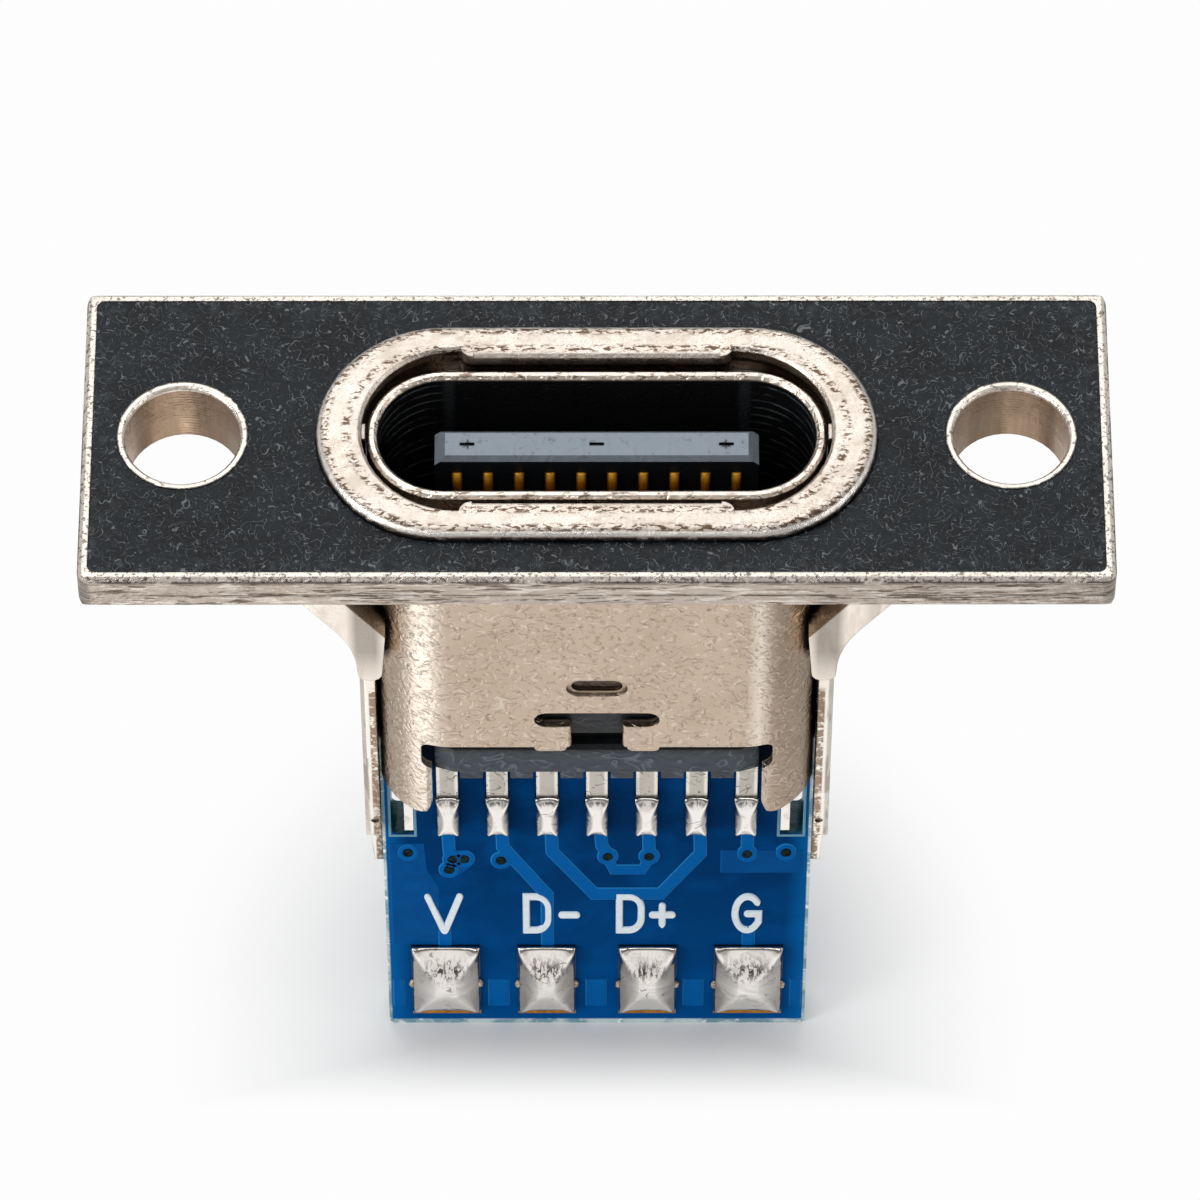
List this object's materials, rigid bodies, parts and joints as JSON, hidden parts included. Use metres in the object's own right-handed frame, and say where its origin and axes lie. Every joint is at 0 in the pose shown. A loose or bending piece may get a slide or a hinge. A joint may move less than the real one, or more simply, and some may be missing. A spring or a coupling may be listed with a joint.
{
  "type": "panel-mount usb-c socket",
  "caption": "Panel-mount USB-C socket: an oval mouth in a screw flange, a metal shell behind it, and a small board with solder pads for wires.",
  "frame": {"origin": "centre of the flange's face on the mating axis, midway between the two screw holes", "axes": "+Z out of the mouth along the mating axis, +X along the flange from hole to hole, -Y towards the side of the board that carries the wire pads"},
  "size_m": [0.0196, 0.0066, 0.0211],
  "materials": {
    "cast_nickel": "nickel-plated zinc casting, satin, with rough speckled edges",
    "black_film": "black film with fine hair-like marks",
    "shell_nickel": "drawn sheet, warm matte nickel plating",
    "black_moulding": "moulded black insulator plastic",
    "centre_steel": "stamped stainless steel",
    "blue_board": "fibreglass board with a glossy blue solder mask",
    "gold_plating": "gold-plated copper",
    "contact_alloy": "stamped copper alloy, gold on the fingers and tin on the leads",
    "solder": "bright solder"
  },
  "bodies": {
    "root": {"flange": "cast_nickel", "face_film": "black_film", "shell": "shell_nickel", "insulator": "black_moulding", "centre_plate": "centre_steel", "board": "blue_board", "wire_pads": "gold_plating", "front_joints": "solder", "back_joints": "solder", "shell_joints": "solder", "front_contact_1": "contact_alloy", "front_contact_2": "contact_alloy", "front_contact_3": "contact_alloy", "front_contact_4": "contact_alloy", "front_contact_5": "contact_alloy", "front_contact_6": "contact_alloy", "front_contact_7": "contact_alloy", "back_contact_1": "contact_alloy", "back_contact_2": "contact_alloy", "back_contact_3": "contact_alloy", "back_contact_4": "contact_alloy", "back_contact_5": "contact_alloy", "back_contact_6": "contact_alloy", "back_contact_7": "contact_alloy", "wire_solder_1": "solder", "wire_solder_2": "solder", "wire_solder_3": "solder", "wire_solder_4": "solder"}
  },
  "joints": []
}
